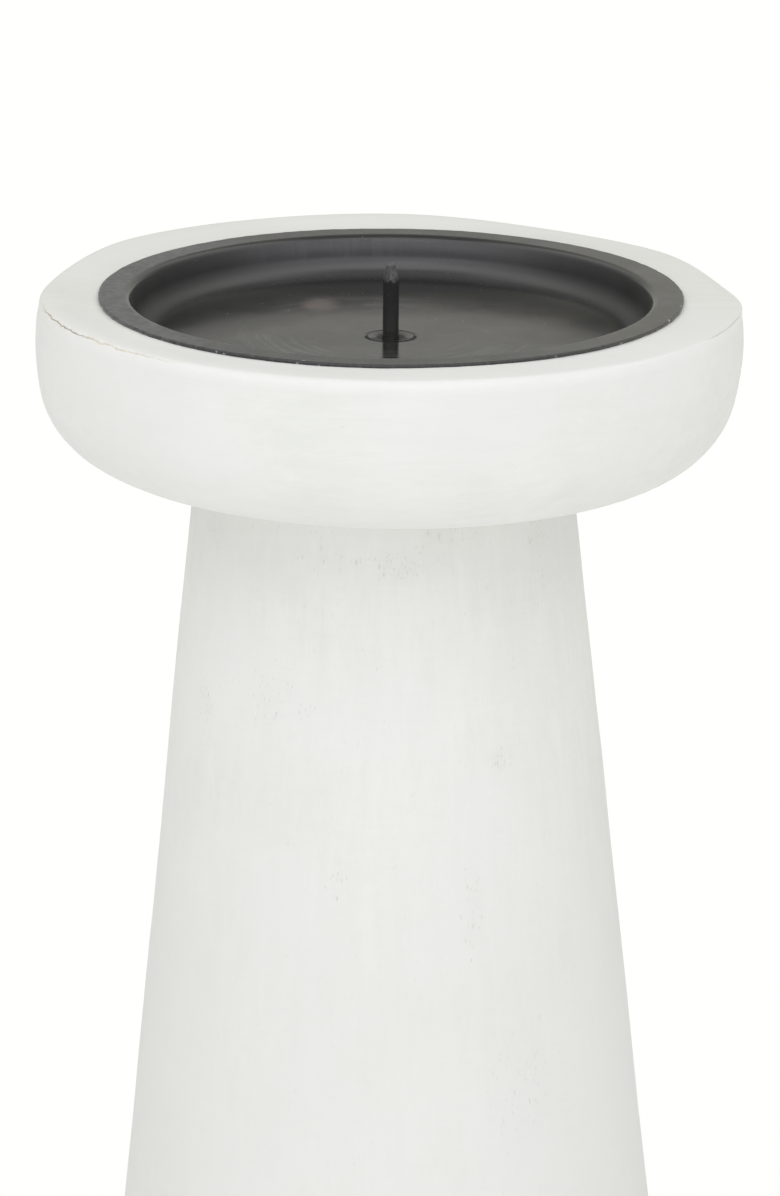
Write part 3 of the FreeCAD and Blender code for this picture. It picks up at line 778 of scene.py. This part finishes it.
def dish_wash():
    paint = Paint("white_wash_dish")
    patches = paint.noise(paint.stretched(0.5, 1.0, 1.0), 0.10, 3.0, 0.6)
    worn = paint.ramp(patches, 0.60, 0.80, 0.0, 0.30)
    colour, roughness, height = white_wash(paint, (0.07, 1.0, 1.0), worn, 0.012)

    # The rim is painted darker at the back and lighter at the front: painted shade and painted light.
    on_rim = paint.product(paint.ramp(paint.height, RIM_Z - 2.5, RIM_Z - 1.0),
                           paint.ramp(paint.radius, RECESS_RADIUS, SEAT_RADIUS))
    back_rim_painted_shade = paint.product(on_rim, paint.ramp(paint.y, 0.0, 42.0))
    front_rim_painted_light = paint.product(on_rim, paint.ramp(paint.y, 10.0, -45.0))
    colour = paint.coats(colour, (back_rim_painted_shade, 0.6, (0.690, 0.695, 0.670)),
                         (front_rim_painted_light, 0.6, (0.800, 0.804, 0.790)))
    colour, edge_relief = edge_wear(paint, colour)
    dents = paint.strongest([paint.product(paint.spot(centre, radii, 0.8), amount)
                             for centre, radii, amount in DISH_MARKS])
    colour = paint.mix(dents, colour, (0.52, 0.47, 0.41))

    recess = paint.product(paint.ramp(paint.radius, RECESS_RADIUS + 0.6, RECESS_RADIUS - 0.2),
                           paint.ramp(paint.height, RIM_Z - 12.0, RIM_Z - 11.5),
                           paint.ramp(paint.height, RIM_Z - 1.5, RIM_Z - 4.0))
    colour = bare(paint, colour, recess)
    height = paint.total((1.0, height), *edge_relief, (-1.5, dents))
    return paint.finish(colour, roughness, height, 0.07, Specular_IOR_Level=0.18)


def spin_rings(paint, on_floor, clouds):
    """Mask of the fine rings that spinning left on the pan's floor, strongest half way out."""
    wander = paint.total((1.0, paint.radius), (2.4, clouds))
    ring_place = paint.joined(wander, paint.math("MULTIPLY", paint.angle, 0.7), 0.0)
    ring_noise = paint.noise(ring_place, 1.1, 4.0, 0.7)
    zone = paint.product(paint.ramp(paint.radius, 7.0, 14.0), paint.ramp(paint.radius, 31.0, 22.0), on_floor)
    patchy = paint.ramp(paint.noise(paint.place, 0.07, 3.0, 0.6), 0.38, 0.62)
    return paint.product(paint.ramp(ring_noise, 0.46, 0.62), zone, patchy)


def wall_smears(paint, haze_and_painted_reflection):
    """Mask of the smears of wax that run down the hazy far wall, most of them at its left."""
    smear_noise = paint.noise(paint.wrapped(40.0, paint.math("MULTIPLY", paint.z, 0.10)), 0.55, 4.0, 0.7)
    far_left = arc_mask(paint, 88, 120, 0.15)
    return paint.product(paint.ramp(smear_noise, 0.42, 0.68), haze_and_painted_reflection,
                         paint.ramp(paint.height, FLANGE_Z - 4.2, FLANGE_Z - 3.2),
                         paint.math("ADD", paint.product(far_left, 0.85), 0.15))


# Arcs of the flange's edge that are knocked about, in degrees.
KNOCKED_ARCS = [(-155.0, -151.5), (-139.5, -136.5), (-108.0, -99.5)]


def edge_chips(paint, grit, clouds):
    """Mask of the chips in the cut edge of the flange."""
    distance, number = paint.cells(paint.place, 0.85)
    at_rim = paint.ramp(paint.radius, FLANGE_RADIUS - 1.0, FLANGE_RADIUS - 0.4)
    size = paint.math("ADD", distance, paint.product(grit, 0.3))
    knocked = paint.strongest([arc_mask(paint, first, last, 0.03) for first, last in KNOCKED_ARCS])
    is_chipped = paint.ramp(paint.math("ADD", number, paint.product(knocked, 0.5)), 0.86, 0.89)
    return paint.product(at_rim, paint.ramp(size, 0.25, 0.45, 1.0, 0.0), is_chipped,
                         paint.math("MAXIMUM", knocked, paint.ramp(clouds, 0.44, 0.52)))


def black_enamel():
    paint = Paint("black_enamel")
    clouds = paint.noise(paint.place, 0.09, 4.0, 0.6)
    small_clouds = paint.noise(paint.place, 0.35, 4.0, 0.65)
    orange_peel = paint.noise(paint.place, 1.1, 2.0)
    grit = paint.noise(paint.place, 4.0, 3.0, 0.7)
    # The pan's zones, told apart by radius and height.
    on_flange = paint.product(paint.ramp(paint.radius, 42.8, 43.8),
                              paint.ramp(paint.height, FLANGE_Z - 0.8, FLANGE_Z - 0.5))
    on_wall = paint.product(paint.ramp(paint.radius, 38.0, 40.5),
                            paint.ramp(paint.height, FLANGE_Z - 0.5, FLANGE_Z - 1.0))
    on_floor = paint.product(paint.ramp(paint.radius, 38.5, 37.0),
                             paint.ramp(paint.height, FLANGE_Z - 5.9, FLANGE_Z - 6.5))
    rings = spin_rings(paint, on_floor, clouds)

    # The floor behind the spike and to the right is painted lighter and warmer: a painted reflection.
    floor_painted_reflection = paint.product(on_floor, paint.ramp(paint.y, 34.0, 21.0), paint.ramp(paint.y, -12.0, 13.0),
                         paint.ramp(paint.x, -36.0, 2.0, 0.15, 1.0), paint.ramp(clouds, 0.3, 0.6, 0.75, 1.0))

    # The far wall is made rougher and painted lighter, fading out to the sides and downwards; the lighter
    # colour is a painted reflection, strongest high up.
    far_side = arc_mask(paint, 50, 128, 0.55)
    haze_and_painted_reflection = paint.product(on_wall, far_side)
    reflection_strength = paint.ramp(paint.height, FLANGE_Z - 6.0, FLANGE_Z - 4.5, 0.42, 0.95)
    smears = wall_smears(paint, haze_and_painted_reflection)

    # The flange is brushed across, mottled at the left and dusty at the right, and its edge is chipped.
    brushed = paint.noise(paint.wrapped(47.0, paint.math("MULTIPLY", paint.radius, 0.16)), 2.2, 3.0, 0.7)
    brush_marks = paint.product(on_flange, paint.ramp(brushed, 0.40, 0.66, 0.0, 0.55))
    flecks = paint.ramp(paint.noise(paint.place, 0.8, 4.0, 0.7), 0.40, 0.62)
    mottled = paint.product(on_flange, paint.ramp(paint.x, -18.0, -40.0), flecks)
    dusty = paint.product(on_flange, paint.ramp(paint.x, 14.0, 42.0))
    chips = edge_chips(paint, grit, small_clouds)

    # The dimple is painted near black and made rougher where the spike stands in it: painted shade round the
    # spike's foot.
    spike_foot_painted_shade = paint.product(paint.ramp(paint.radius, 2.7, 2.1),
                          paint.ramp(paint.height, FLANGE_Z - 6.8, FLANGE_Z - 7.1))

    # The spike's point is painted lighter in patches: enamel rubbed off it, and a painted highlight on its
    # ground flats.
    on_point = paint.product(paint.ramp(paint.radius, 1.5, 1.4),
                             paint.ramp(paint.height, SPIKE_Z - 2.9, SPIKE_Z - 1.9))
    patchy = paint.noise(paint.place, 1.6, 3.0, 0.6)
    rubbed = paint.product(on_point, paint.ramp(patchy, 0.36, 0.60, 0.3, 1.0))

    # Dust, and one dried drop of wax on the floor behind the spike. The drop's pale pink colour is a painted
    # highlight, with a painted dark ring round it.
    dust_distance, dust_number = paint.cells(paint.place, 0.9)
    dust = paint.product(paint.ramp(dust_distance, 0.07, 0.14, 1.0, 0.0), paint.ramp(dust_number, 0.86, 0.9))
    drop_place = (-10.3, 20.8, FLANGE_Z - 7.1)
    wax_drop_and_highlight = paint.product(paint.spot(drop_place, (4.4, 7.0, 1.8)),
                         paint.ramp(small_clouds, 0.30, 0.60, 0.55, 1.0))
    drop_painted_dark_ring = paint.spot(drop_place, (6.0, 9.0, 2.2), 0.7)
    pink_painted_highlight = paint.spot((-12.0, 19.4, FLANGE_Z - 7.1), (2.2, 3.2, 1.6))

    dark, worn_black = (0.0265, 0.0265, 0.027), (0.033, 0.033, 0.033)
    colour = paint.mix(paint.ramp(paint.total((0.7, clouds), (0.3, grit)), 0.36, 0.64), dark, worn_black)
    colour = paint.coats(
        colour,
        (on_floor, 0.85, (0.0105, 0.0105, 0.0105)), (floor_painted_reflection, 0.9, (0.052, 0.051, 0.045)),
        (rings, 0.85, (0.090, 0.090, 0.087)), (haze_and_painted_reflection, reflection_strength, (0.074, 0.073, 0.077)),
        (smears, 0.7, (0.098, 0.096, 0.104)), (brush_marks, 1.0, (0.068, 0.069, 0.069)),
        (mottled, 0.65, (0.110, 0.115, 0.126)), (dusty, 0.55, (0.082, 0.081, 0.068)),
        (rubbed, 0.45, (0.15, 0.15, 0.15)), (spike_foot_painted_shade, 0.85, (0.006, 0.006, 0.006)),
        (dust, 0.35, (0.20, 0.20, 0.20)), (drop_painted_dark_ring, 0.30, (0.012, 0.012, 0.012)),
        (wax_drop_and_highlight, 0.9, (0.125, 0.112, 0.104)), (pink_painted_highlight, 0.5, (0.165, 0.105, 0.100)),
        (chips, 0.9, (0.52, 0.52, 0.51)))

    cloudy_flange = paint.product(on_flange, small_clouds)
    dull_sides = paint.product(on_wall, paint.math("SUBTRACT", 1.0, far_side))
    wear = paint.total((0.05, paint.ramp(clouds, 0.38, 0.62)), (0.06, rings), (0.05, on_wall), (0.07, haze_and_painted_reflection),
                       (0.12, smears), (0.10, on_flange), (0.08, cloudy_flange), (0.15, dust), (0.2, wax_drop_and_highlight),
                       (0.26, dull_sides), (0.35, spike_foot_painted_shade))
    roughness = paint.math("ADD", wear, 0.145)
    height = paint.total((0.020, orange_peel), (0.016, grit), (0.035, rings),
                         (0.06, paint.product(on_flange, brushed)), (0.03, cloudy_flange), (0.25, wax_drop_and_highlight),
                         (-0.5, chips), (0.10, dust))
    return paint.finish(colour, roughness, height, 0.06, Specular_IOR_Level=0.5)


def zinc_steel():
    paint = Paint("zinc_steel")
    clouds = paint.noise(paint.place, 0.5, 4.0, 0.6)
    cut_place = paint.joined(paint.radius, paint.math("MULTIPLY", paint.angle, 0.2), paint.z)
    turned = paint.noise(cut_place, 5.0, 3.0, 0.6)
    tarnish = paint.ramp(clouds, 0.42, 0.66)
    colour = paint.mix(tarnish, (0.66, 0.66, 0.63), (0.50, 0.49, 0.44))
    roughness = paint.total((0.30, turned), (0.22, tarnish), (0.12, clouds))
    height = paint.total((0.6, turned), (0.4, clouds))
    return paint.finish(colour, roughness, height, 0.02, Metallic=1.0)


def grey_felt():
    paint = Paint("grey_felt")
    wool = paint.noise(paint.stretched(1.0, 1.0, 2.2), 3.2, 5.0, 0.75, 0.9)
    hairs = paint.noise(paint.place, 9.0, 3.0, 0.7, 1.5)
    clumps = paint.noise(paint.place, 0.5, 3.0, 0.6)
    colour = paint.mix(paint.ramp(paint.total((0.5, wool), (0.2, hairs), (0.3, clumps)), 0.36, 0.64),
                       (0.19, 0.185, 0.175), (0.40, 0.39, 0.37))
    height = paint.total((0.7, wool), (0.3, hairs))
    return paint.finish(colour, paint.ramp(hairs, 0.3, 0.7, 0.88, 1.0), height, 0.25, Sheen_Weight=0.35,
                        Specular_IOR_Level=0.15)


# ---- Stage, light and camera ----
# Strengths of the studio's light. WORLD_SIDE comes from all round, the next four are added to it from
# their own directions, and WORLD_SEEN is what the camera sees of the far walls.
WORLD_SIDE = 0.30
WORLD_FRONT = 0.16
WORLD_BACK = 0.265
WORLD_TOP = 1.45
WORLD_STRIP = 0.95
WORLD_SEEN = 1.15
FLOOR_GLOW = 0.11


def make_stage():
    mesh = bmesh.new()
    bmesh.ops.create_grid(mesh, x_segments=1, y_segments=1, size=30.0)
    data = bpy.data.meshes.new("floor")
    mesh.to_mesh(data)
    mesh.free()
    floor = bpy.data.objects.new("floor", data)
    bpy.context.scene.collection.objects.link(floor)
    material = bpy.data.materials.new("white_floor")
    material.use_nodes = True
    tree = material.node_tree
    tree.nodes.clear()
    diffuse = node(tree, "ShaderNodeBsdfDiffuse", {"Color": (0.9, 0.9, 0.9, 1)})
    glow = node(tree, "ShaderNodeEmission", {"Color": (1, 1, 1, 1), "Strength": FLOOR_GLOW})
    both = node(tree, "ShaderNodeAddShader")
    tree.links.new(diffuse.outputs[0], both.inputs[0])
    tree.links.new(glow.outputs[0], both.inputs[1])
    node(tree, "ShaderNodeOutputMaterial", {"Surface": both.outputs[0]})
    data.materials.append(material)


def make_world():
    """A white studio: a bright strip low in front, light overhead, dimmer at the sides and behind."""
    world = bpy.data.worlds.new("studio")
    world.use_nodes = True
    tree = world.node_tree
    tree.nodes.clear()
    direction = node(tree, "ShaderNodeTexCoord").outputs["Generated"]
    x, y, z = node(tree, "ShaderNodeSeparateXYZ", {"Vector": direction}).outputs

    def share(socket, low, high, to_low, to_high):
        inputs = {"Value": socket, "From Min": low, "From Max": high, "To Min": to_low, "To Max": to_high}
        return node(tree, "ShaderNodeMapRange", inputs, interpolation_type="SMOOTHSTEP").outputs[0]

    def combined(operation, first, second=0.0):
        return node(tree, "ShaderNodeMath", {0: first, 1: second}, operation=operation).outputs[0]

    front = share(y, 0.3, -1.0, 0.0, WORLD_FRONT)
    # Overhead light comes from the front and the two sides, with a dark gap above and behind.
    aside = combined("ABSOLUTE", x)
    lit = combined("MAXIMUM", share(y, -0.12, -0.40, 0.0, 1.0), share(aside, 0.22, 0.55, 0.0, 1.0))
    above = combined("MULTIPLY", share(z, 0.24, 0.88, 0.0, WORLD_TOP), lit)
    strip = combined("MULTIPLY", share(y, -0.15, -0.75, 0.0, WORLD_STRIP), share(z, 0.48, 0.22, 0.0, 1.0))
    total = share(y, 0.5, 0.95, WORLD_SIDE, WORLD_SIDE + WORLD_BACK)
    for part in (front, above, strip):
        total = combined("ADD", total, part)
    tint = node(tree, "ShaderNodeMix", {"Factor": share(y, -0.6, 0.6, 0.0, 1.0)}, data_type="RGBA")
    tint.inputs[6].default_value = (0.985, 0.99, 1.0, 1)
    tint.inputs[7].default_value = (1.0, 0.99, 0.925, 1)
    # Seen directly, the studio's far walls are plain white.
    seen = node(tree, "ShaderNodeLightPath").outputs["Is Camera Ray"]
    mixed = node(tree, "ShaderNodeMix", {"Factor": seen, "A": total, "B": WORLD_SEEN}, data_type="FLOAT")
    shown = {"Color": tint.outputs[2], "Strength": mixed.outputs[0]}
    background = node(tree, "ShaderNodeBackground", shown)
    node(tree, "ShaderNodeOutputWorld", {"Surface": background.outputs[0]})
    bpy.context.scene.world = world


def soft_box(name, place, aim, width, height, power):
    light = bpy.data.lights.new(name, "AREA")
    light.shape = "RECTANGLE"
    light.size = width
    light.size_y = height
    light.energy = power
    lamp = bpy.data.objects.new(name, light)
    lamp.location = place
    lamp.rotation_mode = "QUATERNION"
    lamp.rotation_quaternion = (Vector(aim) - Vector(place)).to_track_quat("-Z", "Y")
    lamp.visible_camera = False
    bpy.context.scene.collection.objects.link(lamp)


# The camera's distance from the rim's centre in metres, and how far below the centre it aims, in radians.
CAMERA_DISTANCE = 0.908
CAMERA_ELEVATION = math.radians(14.02)
CAMERA_AIM_BELOW = 0.0549
CAMERA_ROLL = 0.004
CAMERA_LENS = 167.75


def make_camera():
    centre = leaning(Vector((0, 0, RIM_Z))) * MM
    back = Vector((0, -math.cos(CAMERA_ELEVATION), math.sin(CAMERA_ELEVATION)))
    right = Vector((1, 0, 0))
    ahead = Matrix.Rotation(-CAMERA_AIM_BELOW, 3, right) @ -back
    right = Matrix.Rotation(CAMERA_ROLL, 3, ahead) @ right
    up = right.cross(ahead)
    data = bpy.data.cameras.new("camera")
    data.lens = CAMERA_LENS
    data.sensor_width = 36.0
    data.clip_start = 0.05
    data.clip_end = 100.0
    camera = bpy.data.objects.new("camera", data)
    turned = Matrix((right, up, -ahead)).transposed().to_4x4()
    turned.translation = centre + back * CAMERA_DISTANCE
    camera.matrix_world = turned
    bpy.context.scene.collection.objects.link(camera)
    bpy.context.scene.camera = camera


def main():
    make_camera()
    make_stage()
    make_world()
    soft_box("key", place=(-0.35, -1.9, 1.55), aim=(0, 0, 0.28), width=0.9, height=0.7, power=1.5)
    enamel, felt = black_enamel(), grey_felt()
    dress = [(make_dish(), dish_wash()), (make_column(), column_wash()), (make_pan(), enamel),
             (make_spike(), enamel), (make_washer(), enamel), (make_stem_screw(), zinc_steel())]
    dress += [(make_felt_pad(name), felt) for name in FELT_NODES]
    for piece, material in dress:
        piece.data.materials.append(material)
    scene = bpy.context.scene
    scene.view_settings.view_transform = "Standard"


main()
